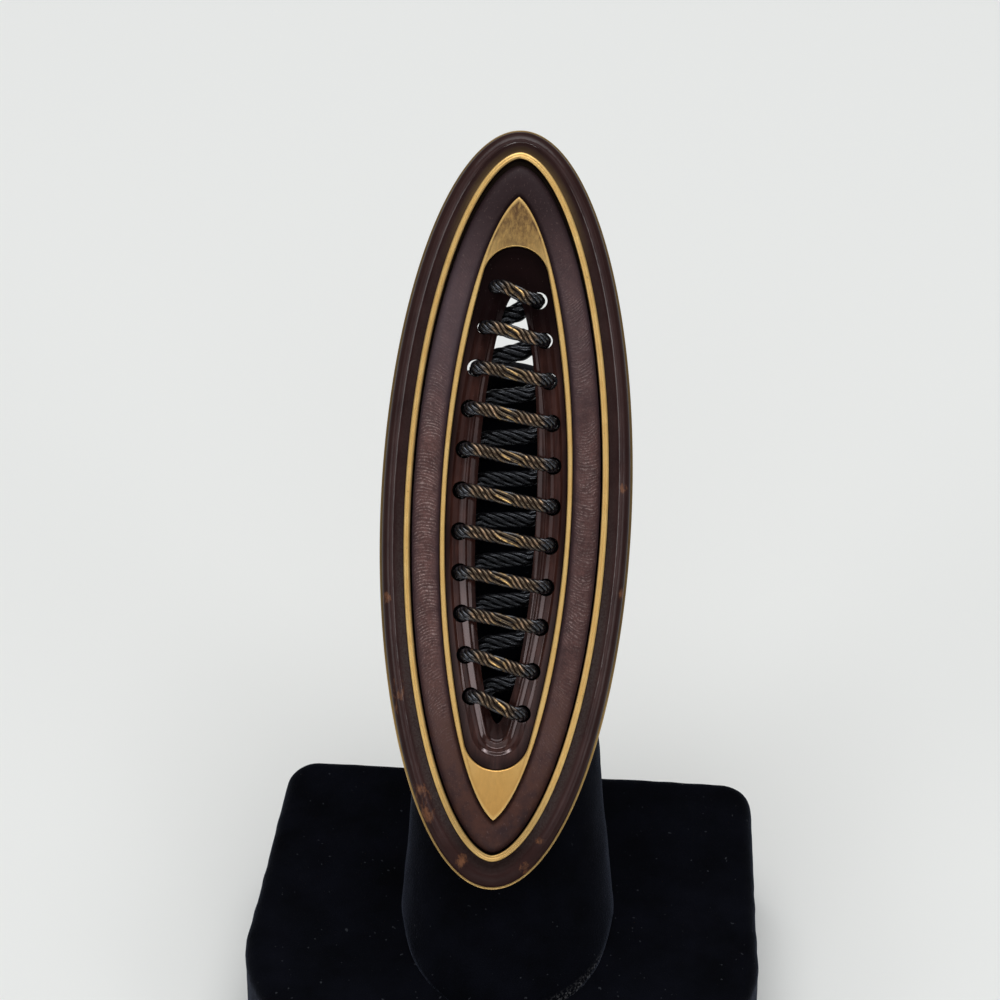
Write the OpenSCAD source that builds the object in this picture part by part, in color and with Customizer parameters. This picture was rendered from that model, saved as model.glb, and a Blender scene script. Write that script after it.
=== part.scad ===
// Long boat-shaped ring of brass, brown lacquer and leather with a laced middle,
// worn by the leaning velvet finger of a small display stand.
// Millimetres. The origin is the middle of the stand's underside, +Z is up, and
// the ring's face looks towards -Y and up.

/* [Ring head] */
// Length of the head from tip to tip
head_length = 76.2; // [70:0.1:84]
// Width of the head across its middle
head_width = 25.2; // [24:0.1:27]
// Thickness of the brass back plate
plate_t = 1.2; // [1:0.1:1.6]
// Clearance between one piece and the next
gap = 0.05; // [0.03:0.01:0.08]

/* [Heights above the back of the plate] */
// Top of the brown frame's roll
frame_top = 2.9; // [2.7:0.1:3.2]
// Top of the brass rim inside the frame
rim_top = 3.4; // [3.2:0.1:3.8]
// Top of the leather band's dome
leather_top = 3.35; // [3:0.05:3.6]
// Top of the brass lens
lens_top = 3.6; // [3.5:0.1:4]
// Crest of the rail round the slot
rail_top = 3.0; // [2.9:0.1:3.2]

/* [Lens and slot] */
// Length of the brass lens between its points
lens_length = 62.3; // [60:0.1:64]
// Width of the brass lens
lens_width = 13.2; // [12.8:0.1:13.6]
// Length of the opening in the lens
opening_length = 52.3; // [51:0.1:53]
// Width of the opening in the lens
opening_width = 12.0; // [11.8:0.1:12.2]
// Length of the slot through the tray
slot_length = 43; // [41:0.5:44]
// Width of the slot through the tray
slot_width = 6.0; // [5.4:0.1:6.2]

/* [Lacing] */
// Number of turns of the cord
turns = 11; // [7:1:11]
// Distance from one turn to the next
turn_pitch = 4.1; // [4:0.05:4.2]
// Diameter of the cord
cord_d = 1.4; // [1.2:0.1:1.5]
// Diameter of a hole for the cord
hole_d = 1.9; // [1.9:0.1:2.1]

/* [Shank] */
// Radius of the finger hole
shank_r = 8.9; // [8.8:0.1:9.2]
// Thickness of the shank
shank_t = 1.4; // [1.2:0.1:1.8]
// Width of the shank along the finger
shank_w = 5; // [4:0.5:6]

/* [Stand] */
// Width of the base along its back edge
base_back_w = 48.8; // [46:0.1:52]
// Width of the base at its front corners
base_front_w = 52.1; // [48:0.1:54]
// Depth of the base
base_depth = 40; // [38:0.5:46]
// Height of the base
base_h = 14; // [10:0.5:20]
// Angle of the ring's head above the ground
head_lean = 46.4; // [44:0.1:49]
// Turn of the finger on its base, counterclockwise from above
finger_turn = 4.5; // [0:0.5:6]
// Turn of the ring on its finger, clockwise from the front
head_turn = 2.5; // [0:0.5:4]

/* [Hidden] */

// Sides of every outline, and of the cord
STEPS = 96;
CORD_SIDES = 8;
$fn = 96;

// Half sizes
head_a = head_length / 2;
head_b = head_width / 2;
lens_a = lens_length / 2;
lens_b = lens_width / 2;
open_a = opening_length / 2;
open_b = opening_width / 2;
slot_a = slot_length / 2;
slot_b = slot_width / 2;

// The bottom of everything that stands on the plate
seat = plate_t + gap;

// Each outline is a closed list of points, and the same number of them runs round every
// outline from the top tip, so that a band can be skinned from one outline to the next.
// half_len and half_wid are its half sizes. A pointed outline has an exponent, which is
// 0.5 for an ellipse and more for sharper tips.
function angle(i) = 360 * i / STEPS;
function side(i) = sin(angle(i)) < -0.0001 ? -1 : sin(angle(i)) > 0.0001 ? 1 : 0;
function pointed(half_len, half_wid, exponent) = [
    for (i = [0 : STEPS - 1])
        [half_wid * side(i) * pow(abs(sin(angle(i))), 2 * exponent), half_len * cos(angle(i))]
];

// A rounded oval is two long arcs for the sides and two short ones for the ends.
function side_r(half_len, half_wid, tip_r) =
    (pow(half_wid, 2) + pow(half_len - tip_r, 2) - pow(tip_r, 2)) / (2 * (half_wid - tip_r));
// How far along the length the side arc meets the end arc
function joint_y(half_len, half_wid, tip_r) =
    (half_len - tip_r) * side_r(half_len, half_wid, tip_r)
    / (side_r(half_len, half_wid, tip_r) - tip_r);
function oval_x(half_len, half_wid, tip_r, y) =
    abs(y) < joint_y(half_len, half_wid, tip_r)
    ? half_wid - side_r(half_len, half_wid, tip_r)
        + sqrt(pow(side_r(half_len, half_wid, tip_r), 2) - y * y)
    : sqrt(max(0, tip_r * tip_r - pow(abs(y) - half_len + tip_r, 2)));
function oval(half_len, half_wid, tip_r) = [
    for (i = [0 : STEPS - 1])
        let (y = half_len * cos(angle(i)))
        [side(i) * oval_x(half_len, half_wid, tip_r, y), y]
];

// The lens has straighter tips: close to them its width is drawn in.
lens_p = 0.65;
tip_pull = 0.33;
tip_reach = 0.2;
function sharper(half_len, half_wid, exponent) = [
    for (i = [0 : STEPS - 1])
        let (s2 = pow(sin(angle(i)), 2), p = pointed(half_len, half_wid, exponent)[i])
        [p[0] * pow(s2 / (s2 + pow(tip_reach, 2)), tip_pull), p[1]]
];

// The outlines that several pieces share
open_tip_r = 3.3;
rim_outer_p = 0.555;
rim_inner_p = 0.578;
slot_p = 0.6;
// The rim stands this far inside the head's edge along its length and its width
rim_in_l = 2.45;
rim_in_w = 2.45;
rim_w = 0.62;
rim_w_tip = 0.65;
rim_a = head_a - rim_in_l;
rim_b = head_b - rim_in_w;
// The rim's lower tip is drawn in by this share, and the frame round it follows in part.
rim_low = 0.0115;
function lowered(outline, part = 1) =
    [for (p = outline) [p[0], p[1] * (p[1] < 0 ? 1 - rim_low * part : 1)]];

// Where the cord's holes are: the rows climb in even steps, the right one lower than the
// left, and each hole keeps the same distance from the opening's edge.
left_rise = 1.6;
right_rise = 0.4;
left_first = (turns - 1) / 2 * turn_pitch + left_rise;
right_first = (turns - 1) / 2 * turn_pitch + right_rise;
hole_in = 1.45;
cord_in = 1.6;
function edge_x(y) = oval_x(open_a, open_b, open_tip_r, y);
function left_y(k) = left_first - k * turn_pitch;
function right_y(k) = right_first - k * turn_pitch;

// The cord's middle in front of the tray and behind it
cord_front = rail_top + cord_d / 2 + 0.2;
cord_back = 0.95;
tray_bottom = 1.9;

// The finger of the stand: distance up its axis from the base, and radius there
FINGER = [
    [-16, 12.1],
    [0, 11],
    [14, 9.7],
    [41, 8.35],
    [50, 7.75]
];
finger_end = 56.5;
// The ring sits on the finger here, and the finger's front stays this far under the plate
ring_at = 41;
ring_at_r = 8.35;
finger_gap = 0.2;
// The finger tapers, so its axis leans less than the ring's head does
finger_lean = head_lean + 4;
// Middle of the finger's foot, from the middle of the base
foot_x = 0.2;
foot_y = -0.6;
base_corner_back = 3.2;
base_corner_front = 14.5;

// The middle of the head's back, found by going up the finger's axis and out to its front
axis_in = ring_at_r + finger_gap;
head_y = ring_at * cos(finger_lean) - axis_in * sin(head_lean);
head_z = ring_at * sin(finger_lean) + axis_in * cos(head_lean);

// Places what stands on the base, from the middle of the finger's foot
module on_foot() {
    translate([foot_x, foot_y, base_h]) rotate([0, 0, finger_turn]) children();
}

// Places what is made flat, with the head's length along Y, on the leaning finger
module on_finger() {
    on_foot() translate([0, head_y, head_z]) rotate([head_lean, 0, 0])
        rotate([0, 0, -head_turn]) children();
}

// A closed band skinned through rows of [outline, height], which go once round its section
module band(rows) {
    count = len(rows);
    points = [for (row = rows) for (p = row[0]) [p[0], p[1], row[1]]];
    faces = [
        for (r = [0 : count - 1]) for (i = [0 : STEPS - 1])
            let (s = (r + 1) % count, j = (i + 1) % STEPS)
            each [
                [r * STEPS + i, s * STEPS + i, s * STEPS + j],
                [r * STEPS + i, s * STEPS + j, r * STEPS + j]
            ]
    ];
    polyhedron(points = points, faces = faces, convexity = 6);
}

// Brass: the back plate and the shank soldered to it
module brass_base() {
    // The plate reaches under the tray by this much at its ends and its sides.
    under_l = 0.35;
    under_w = 0.2;
    color([0.76, 0.63, 0.42]) on_finger() {
        linear_extrude(plate_t) difference() {
            polygon(pointed(head_a, head_b, 0.5));
            polygon(oval(open_a - under_l, open_b - under_w, open_tip_r));
        }
        translate([0, 0, -axis_in]) shank();
    }
}

module shank() {
    rotate([90, 0, 0]) rotate([0, 0, 180]) rotate_extrude(angle = 180)
        translate([shank_r, -shank_w / 2]) square([shank_t, shank_w]);
    for (s = [-1, 1]) translate([s * (shank_r + shank_t / 2) - shank_t / 2, -shank_w / 2, 0])
        cube([shank_t, shank_w, axis_in + plate_t / 2]);
}

// Brown lacquer: a roll along the outer edge, and a cove that falls to the rim
module outer_frame() {
    ledge = 0.25;
    a = head_a - ledge;
    b = head_b - ledge;
    ai = rim_a + gap;
    bi = rim_b + gap;
    p = rim_outer_p;
    color([0.24, 0.17, 0.16]) on_finger() band([
        [lowered(pointed(ai, bi, p)), seat],
        [lowered(pointed(ai, bi, p)), frame_top - 0.62],
        [lowered(pointed(ai + 0.25, bi + 0.25, 0.549), 0.9), frame_top - 0.58],
        [lowered(pointed(ai + 0.7, bi + 0.7, 0.534), 0.7), frame_top - 0.34],
        [lowered(pointed(a - 0.95, b - 0.95, 0.522), 0.45), frame_top],
        [lowered(pointed(a - 0.45, b - 0.45, 0.51), 0.2), frame_top - 0.15],
        [pointed(a - 0.12, b - 0.12, 0.502), frame_top - 0.5],
        [pointed(a, b, 0.5), frame_top - 1.0],
        [pointed(a, b, 0.5), seat]
    ]);
}

// Brass: a thin upright rim
module inner_rim() {
    ai = rim_a - rim_w_tip;
    bi = rim_b - rim_w;
    bevel = 0.15;
    color([0.78, 0.65, 0.43]) on_finger() band([
        [lowered(pointed(ai, bi, rim_inner_p)), seat],
        [lowered(pointed(ai, bi, rim_inner_p)), rim_top - bevel],
        [lowered(pointed(ai + bevel, bi + bevel, rim_inner_p)), rim_top],
        [lowered(pointed(rim_a - bevel, rim_b - bevel, rim_outer_p)), rim_top],
        [lowered(pointed(rim_a, rim_b, rim_outer_p)), rim_top - bevel],
        [lowered(pointed(rim_a, rim_b, rim_outer_p)), seat]
    ]);
}

// Leather: a domed band between the rim and the lens
module leather_band() {
    // It stays clear of the rim by this much at its tips and its sides.
    clear_l = 0.5;
    clear_w = 0.12;
    ao = rim_a - rim_w_tip - clear_l;
    bo = rim_b - rim_w - clear_w;
    ai = lens_a + gap;
    bi = lens_b + gap;
    color([0.30, 0.24, 0.24]) on_finger() band([
        [sharper(ai, bi, lens_p), seat],
        [sharper(ai, bi, lens_p), leather_top - 0.5],
        [sharper(ai + 0.55, bi + 0.45, 0.645), leather_top - 0.15],
        [pointed(ai + 1.2, bi + 1.0, 0.635), leather_top],
        [pointed(ao - 1.0, bo - 0.95, 0.612), leather_top - 0.05],
        [pointed(ao - 0.4, bo - 0.4, 0.592), leather_top - 0.3],
        [pointed(ao, bo, rim_inner_p), leather_top - 0.8],
        [pointed(ao, bo, rim_inner_p), seat]
    ]);
}

// Brass: a lens with sharp points, cut out for the tray
module lens_plate() {
    bevel = 0.1;
    color([0.76, 0.62, 0.38]) on_finger() band([
        [oval(open_a, open_b, open_tip_r), seat],
        [oval(open_a, open_b, open_tip_r), lens_top - bevel],
        [oval(open_a + bevel, open_b + bevel, open_tip_r + bevel), lens_top],
        [sharper(lens_a - bevel, lens_b - bevel, lens_p), lens_top],
        [sharper(lens_a, lens_b, lens_p), lens_top - bevel],
        [sharper(lens_a, lens_b, lens_p), seat]
    ]);
}

// Dark resin: a shallow tray with a rail round its slot, drilled for the cord
module laced_tray() {
    a = open_a - gap;
    b = open_b - gap;
    r = open_tip_r - gap;
    groove_z = rail_top - 0.5;
    color([0.17, 0.11, 0.10]) on_finger() difference() {
        band([
            [oval(a, b, r), seat],
            [oval(a, b, r), groove_z + 0.05],
            [oval(a - 1.35, b - 0.45, r - 0.6), groove_z],
            [oval(a - 1.75, b - 0.7, 2.1), groove_z + 0.16],
            [oval(a - 2.1, b - 1.2, 1.7), rail_top - 0.32],
            [oval(a - 2.4, b - 1.65, 1.4), rail_top - 0.17],
            [oval(a - 2.65, b - 2.0, 1.1), rail_top],
            [oval(a - 2.8, b - 2.15, 1.0), rail_top - 0.15],
            [oval(a - 3.0, b - 2.5, 0.9), rail_top - 0.25],
            [pointed(slot_a, slot_b, slot_p), rail_top - 0.45],
            [pointed(slot_a, slot_b, slot_p), tray_bottom],
            [oval(a - 0.5, b - 0.4, r - 0.4), tray_bottom],
            [oval(a - 0.3, b - 0.1, r - 0.2), seat]
        ]);
        for (k = [0 : turns - 1]) {
            translate([hole_in - edge_x(left_y(k)), left_y(k), 0]) cylinder(d = hole_d, h = 8);
            translate([edge_x(right_y(k)) - hole_in, right_y(k), 0]) cylinder(d = hole_d, h = 8);
        }
    }
}

// The cord goes up through a left hole, across the front, down through the right hole of
// that row and back behind to the next left hole. Each bend is cut by two points.
function hole_points(x, y, way) = [
    [x + way * cord_d / 2, y, way < 0 ? cord_front : cord_back],
    [x, y, way < 0 ? cord_front - cord_d / 2 : cord_back + cord_d / 2],
    [x, y, way < 0 ? cord_back + cord_d / 2 : cord_front - cord_d / 2],
    [x + way * cord_d / 2, y, way < 0 ? cord_back : cord_front]
];
cord_route = [
    for (k = [0 : turns - 1]) each concat(
        hole_points(cord_in - edge_x(left_y(k)), left_y(k), 1),
        hole_points(edge_x(right_y(k)) - cord_in, right_y(k), -1)
    )
];
function unit(v) = v / norm(v);
function heading(route, i) = unit(
    (i > 0 ? unit(route[i] - route[i - 1]) : [0, 0, 0])
    + (i < len(route) - 1 ? unit(route[i + 1] - route[i]) : [0, 0, 0])
);

// A tube of flat sides along a route whose bends all lie near the XZ plane
module tube(route, d, sides) {
    points = [
        for (i = [0 : len(route) - 1])
            let (
                ahead = heading(route, i),
                across = unit([0, 1, 0] - ahead * ahead[1]),
                up = cross(ahead, across)
            )
            for (s = [0 : sides - 1])
                let (turn = 360 * (s + 0.5) / sides)
                route[i] + d / 2 * (across * cos(turn) + up * sin(turn))
    ];
    last = (len(route) - 1) * sides;
    faces = [
        [for (s = [0 : sides - 1]) s],
        [for (s = [sides - 1 : -1 : 0]) last + s],
        for (i = [0 : len(route) - 2]) for (s = [0 : sides - 1])
            let (n = (s + 1) % sides, a = i * sides, b = (i + 1) * sides)
            each [[a + s, b + s, b + n], [a + s, b + n, a + n]]
    ];
    polyhedron(points = points, faces = faces, convexity = 10);
}

// Black and bronze cord, laced through the tray in one length
module lacing() {
    color([0.12, 0.10, 0.08]) on_finger() tube(cord_route, cord_d, CORD_SIDES);
}

// Outline of the base: its corners as [side, way, half width, radius]
CORNERS = [
    [1, 1, base_back_w / 2, base_corner_back],
    [-1, 1, base_back_w / 2, base_corner_back],
    [-1, -1, base_front_w / 2, base_corner_front],
    [1, -1, base_front_w / 2, base_corner_front]
];
CORNER_STEPS = 8;
function corner_start(c) = c[0] > 0 ? (c[1] > 0 ? 0 : 270) : (c[1] > 0 ? 90 : 180);
base_outline = [
    for (c = CORNERS) for (i = [0 : CORNER_STEPS])
        let (turn = corner_start(c) + 90 * i / CORNER_STEPS)
        [c[0] * (c[2] - c[3]) + c[3] * cos(turn), c[1] * (base_depth / 2 - c[3]) + c[3] * sin(turn)]
];

// Black velvet over a block
module stand_base() {
    color([0.04, 0.05, 0.08]) linear_extrude(base_h) polygon(base_outline);
}

// Black velvet over a tapering finger with a round end, cut level with the base
module stand_finger() {
    shoulder = FINGER[len(FINGER) - 1];
    dome = [
        for (i = [1 : 6])
            [shoulder[1] * cos(15 * i), shoulder[0] + (finger_end - shoulder[0]) * sin(15 * i)]
    ];
    profile = concat([[0, FINGER[0][0]]], [for (row = FINGER) [row[1], row[0]]], dome);
    color([0.04, 0.05, 0.08]) difference() {
        on_foot() rotate([finger_lean - 90, 0, 0]) rotate_extrude() polygon(profile);
        translate([-50, -50, base_h + gap - 60]) cube([100, 100, 60]);
    }
}

brass_base();
outer_frame();
inner_rim();
leather_band();
lens_plate();
laced_tray();
lacing();
stand_base();
stand_finger();
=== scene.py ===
import math

import bpy
import numpy as np
from mathutils import Matrix, Vector


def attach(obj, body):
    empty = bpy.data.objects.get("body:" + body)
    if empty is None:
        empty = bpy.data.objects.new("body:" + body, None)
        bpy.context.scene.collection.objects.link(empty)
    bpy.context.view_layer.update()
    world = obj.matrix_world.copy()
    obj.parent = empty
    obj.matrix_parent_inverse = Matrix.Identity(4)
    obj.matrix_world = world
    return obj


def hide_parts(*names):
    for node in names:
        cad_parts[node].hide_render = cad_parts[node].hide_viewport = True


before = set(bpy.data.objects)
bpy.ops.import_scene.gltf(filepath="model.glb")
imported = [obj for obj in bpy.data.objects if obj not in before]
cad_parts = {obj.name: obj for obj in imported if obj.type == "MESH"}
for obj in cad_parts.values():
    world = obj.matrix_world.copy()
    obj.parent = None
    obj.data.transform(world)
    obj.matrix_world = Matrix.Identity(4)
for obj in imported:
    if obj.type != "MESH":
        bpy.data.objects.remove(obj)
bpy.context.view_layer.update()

# Sizes are millimetres in the head's own frame: x to the right, y along the head towards
# its upper tip, z out of its face from the back of the brass plate.
MM = 0.001
HEAD_LEAN = 46.4
HEAD_TURN = 2.5
HEAD_A = 38.1
HEAD_B = 12.6
PLATE_T = 1.2
SEAT = 1.25
FRAME_TOP = 2.9
RIM_TOP = 3.4
LEATHER_TOP = 3.35
LENS_TOP = 3.6
RAIL_TOP = 3.0

# Outlines that several pieces share: half lengths (A), half widths (B), the exponents of
# pointed outlines (P, 0.5 for an ellipse) and the end radii of ovals (R)
RIM_A = 35.65
RIM_B = 10.15
# The rim's width, at its sides and at its tips
RIM_W = 0.62
RIM_W_TIP = 0.65
RIM_OUTER_P = 0.555
RIM_INNER_P = 0.578
# The rim's lower tip is drawn in by this share.
RIM_LOW = 0.0115
LENS_A = 31.15
LENS_B = 6.61
LENS_P = 0.65
OPEN_A = 26.15
OPEN_B = 6.05
OPEN_R = 3.3
SLOT_A = 21.5
SLOT_B = 3.0
SLOT_P = 0.6
# Close to the tips of a sharper outline its width is drawn in.
TIP_REACH = 0.2
TIP_PULL = 0.33
# Points round an outline, and round one whose curve shows most
STEPS = 480
FINE_STEPS = 960
# Clearance between one piece and the next
GAP = 0.05

# Lacing
TURNS = 11
TURN_PITCH = 4.1
LEFT_RISE = 1.6
RIGHT_RISE = 0.2
HOLE_IN = 1.45
CORD_IN = 1.6
CORD_R = 0.71
# Radius of each hole, from the top down. The upper ones let the light through.
LEFT_HOLES = [0.60, 0.68, 0.86] + [0.86] * 8
RIGHT_HOLES = [0.87, 0.79] + [0.84] * 9
# How far each right hole is above its even place
RIGHT_SHIFT = [0.2, 0.3, 0.35, 0.25, 0.1, 0.1, 0.3, 0.25, 0.35, 0.0, -0.15]
CORD_FRONT = 3.95
CORD_BACK = 0.95
TRAY_BOTTOM = 1.9

# Shank
SHANK_R = 8.9
SHANK_T = 1.4
SHANK_W = 5.0
# How far behind the head the finger hole's axis lies
AXIS_IN = 8.55

# Stand, from the middle of its underside
BASE_H = 14.0
BASE_BACK = 24.4
BASE_FRONT = 26.05
BASE_DEPTH = 20.0
CORNER_BACK = 3.2
CORNER_FRONT = 14.5
FINGER_LEAN = 50.4
FINGER_TURN = 4.5
# Where the finger's axis meets the base
FOOT_X = 0.2
FOOT_Y = -0.6
# Distance up the finger's axis from the base, and radius there
FINGER = np.array([[-16, 12.1], [0, 11.0], [14, 9.7], [41, 8.35], [50, 7.75]])
FINGER_END = 56.5

# Camera
VIEW_PITCH = 41.2
VIEW_TURN = 4.8
VIEW_ROLL = -0.3
VIEW_DISTANCE = 440.0
FOCAL_PX = 4400.0
IMAGE_PX = 1000.0
SENSOR = 36.0
# The head's middle lies at this pixel of the photograph
HEAD_PX = (506.2, 508.4)


def turned(x, y, z):
    """A direction turned about the vertical with the stand's finger."""
    c = math.cos(math.radians(FINGER_TURN))
    s = math.sin(math.radians(FINGER_TURN))
    return np.array([c * x - s * y, s * x + c * y, z])


def extent(node, direction):
    """How far a node of the CAD reaches along a direction, in metres."""
    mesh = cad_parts[node].data
    co = np.empty(len(mesh.vertices) * 3, np.float32)
    mesh.vertices.foreach_get("co", co)
    reach = co.reshape(-1, 3) @ direction
    return reach.min(), reach.max()


lean = math.radians(HEAD_LEAN)
head_turn = math.radians(HEAD_TURN)
SIDE = turned(1, 0, 0)
UP_FACE = turned(0, math.cos(lean), math.sin(lean))
RIGHT = SIDE * math.cos(head_turn) - UP_FACE * math.sin(head_turn)
ALONG = UP_FACE * math.cos(head_turn) + SIDE * math.sin(head_turn)
OUT = turned(0, -math.sin(lean), math.cos(lean))
ORIGIN = OUT * (extent("outer_frame", OUT)[0] - SEAT * MM)
for way in (RIGHT, ALONG):
    ORIGIN = ORIGIN + way * sum(extent("outer_frame", way)) / 2


def on_head(points):
    return ORIGIN + points @ np.stack([RIGHT, ALONG, OUT]) * MM


def on_stand(points):
    return points * MM


# Outlines run clockwise from the upper tip, seen from the front.
def ring_turns(count=STEPS):
    return np.arange(count) * 2 * np.pi / count


def pointed(half_len, half_wid, exponent, turn):
    s = np.sin(turn)
    x = half_wid * np.sign(s) * np.abs(s) ** (2 * exponent)
    return np.stack([x, half_len * np.cos(turn)], -1)


def sharper(half_len, half_wid, exponent, turn):
    """A pointed outline with straighter tips: close to them its width is drawn in."""
    out = pointed(half_len, half_wid, exponent, turn)
    s2 = np.sin(turn) ** 2
    out[:, 0] *= (s2 / (s2 + TIP_REACH**2)) ** TIP_PULL
    return out


def oval_x(half_len, half_wid, tip_r, y):
    side_r = (half_wid**2 + (half_len - tip_r) ** 2 - tip_r**2) / (2 * (half_wid - tip_r))
    joint = (half_len - tip_r) * side_r / (side_r - tip_r)
    long_side = half_wid - side_r + np.sqrt(side_r**2 - y * y)
    end = np.sqrt(np.maximum(0, tip_r**2 - (np.abs(y) - half_len + tip_r) ** 2))
    return np.where(np.abs(y) < joint, long_side, end)


def oval(half_len, half_wid, tip_r, turn):
    """Two long arcs for the sides and two short ones for the ends."""
    y = half_len * np.cos(turn)
    x = np.sign(np.sin(turn)) * oval_x(half_len, half_wid, tip_r, y)
    return np.stack([x, y], -1)


def lowered(outline, share=1.0):
    """Draws the lower tip of an outline in a little."""
    low = np.where(outline[..., 1] < 0, 1 - RIM_LOW * share, 1.0)
    return np.stack([outline[..., 0], outline[..., 1] * low], -1)


def run_along(points):
    """The length of a line up to each of its points."""
    step = np.linalg.norm(np.diff(points, axis=0), axis=1)
    return np.concatenate([[0], np.cumsum(step)])


def points_at(at, run, points):
    """The points of a line at the given lengths along it."""
    return np.stack([np.interp(at, run, column) for column in points.T], -1)


def even_turns(outline, count):
    """Turns at which an outline is divided into even lengths, and its length up to each."""
    fine = np.linspace(0, 2 * np.pi, 20001)
    run = run_along(outline(fine))
    at = np.arange(count) * run[-1] / count
    return np.interp(at, run, fine), at


def level(outline, z):
    return np.column_stack([outline, np.full(len(outline), float(z))])


def soften(rows, radius, steps):
    """Rounds each corner of a closed section of rows, and makes steps + 1 rows of it."""
    rows = np.asarray(rows, float)
    radius = np.broadcast_to(np.asarray(radius, float), len(rows)).reshape(-1, 1, 1)
    legs = []
    for shift in (1, -1):
        leg = np.roll(rows, shift, 0) - rows
        length = np.linalg.norm(leg, axis=2, keepdims=True)
        legs.append(leg * np.minimum(radius / np.maximum(length, 1e-6), 0.46))
    out = []
    for i, row in enumerate(rows):
        for t in np.linspace(0, 1, steps + 1):
            out.append(row + (1 - t) ** 2 * legs[0][i] + t**2 * legs[1][i])
    return np.array(out)


def divide(rows, spacing):
    """Adds rows to a closed section so that no two are further apart than spacing."""
    out = []
    for a, b in zip(rows, np.roll(rows, -1, 0)):
        parts = max(1, math.ceil(np.linalg.norm(b - a, axis=1).mean() / spacing))
        for k in range(parts):
            out.append(a + (b - a) * k / parts)
    return np.array(out)


def spread(rows, count):
    """The same open section with count rows at even distances."""
    step = np.linalg.norm(np.diff(rows, axis=0), axis=2).mean(1)
    run = np.concatenate([[0], np.cumsum(step)])
    at = np.linspace(0, run[-1], count)
    low = np.clip(np.searchsorted(run, at, "right") - 1, 0, len(rows) - 2)
    part = ((at - run[low]) / (run[low + 1] - run[low]))[:, None, None]
    return rows[low] * (1 - part) + rows[low + 1] * part


def bumps(points, size, seed):
    """Smooth random heights from -1 to 1, with lumps of the given size."""
    cells = np.random.default_rng(seed).uniform(-1, 1, (32, 32, 32))
    at = points / size
    low = np.floor(at).astype(int)
    part = at - low
    part = part * part * (3 - 2 * part)
    total = np.zeros(points.shape[:-1])
    for i in (0, 1):
        for j in (0, 1):
            for k in (0, 1):
                cell = (low + [i, j, k]) % 32
                weight = np.ones(points.shape[:-1])
                for d, pick in enumerate((i, j, k)):
                    weight = weight * (part[..., d] if pick else 1 - part[..., d])
                total += weight * cells[cell[..., 0], cell[..., 1], cell[..., 2]]
    return total


def grid_normals(rows):
    """Normals of rows that are closed rings, away from their inside."""
    around = np.roll(rows, -1, 1) - np.roll(rows, 1, 1)
    across = np.gradient(rows, axis=0)
    normal = np.cross(around, across)
    length = np.linalg.norm(normal, axis=2, keepdims=True)
    return normal / np.maximum(length, 1e-9)


def grid_faces(rows, count, closed=True, start=0):
    """Faces between rows of count points each. The rows close on each other, or are open."""
    r = np.arange(rows if closed else rows - 1)[:, None]
    i = np.arange(count)[None, :]
    s = (r + 1) % rows
    j = (i + 1) % count
    corners = [r * count + i, r * count + j, s * count + j, s * count + i]
    return (np.stack(np.broadcast_arrays(*corners), -1).reshape(-1, 4) + start).tolist()


def capped_faces(rows, count, start=0):
    """Faces of an open run of rings, with a cap at each end."""
    last = start + (rows - 1) * count
    caps = [list(range(start + count - 1, start - 1, -1)), list(range(last, last + count))]
    return grid_faces(rows, count, closed=False, start=start) + caps


def piece(name, points, faces, material, slot, replaces, place=on_head, sharp=35.0):
    """A mesh piece whose points are millimetres. It keeps them for its material."""
    points = np.asarray(points, float).reshape(-1, 3)
    mesh = bpy.data.meshes.new(name)
    mesh.from_pydata(place(points).tolist(), [], faces)
    spots = mesh.attributes.new("place", "FLOAT_VECTOR", "POINT")
    spots.data.foreach_set("vector", points.astype(np.float32).ravel())
    mesh.materials.append(material)
    mesh.shade_smooth()
    if sharp:
        mesh.set_sharp_from_angle(angle=math.radians(sharp))
    obj = bpy.data.objects.new(name, mesh)
    bpy.context.scene.collection.objects.link(obj)
    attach(obj, "root")
    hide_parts(*replaces)
    return obj


def band(name, rows, material, slot, **options):
    rows = np.asarray(rows)
    faces = grid_faces(len(rows), rows.shape[1])
    return piece(name, rows, faces, material, slot, **options)


def float_attribute(obj, name, values):
    data = obj.data.attributes.new(name, "FLOAT", "POINT")
    data.data.foreach_set("value", np.asarray(values, np.float32).ravel())


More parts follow.
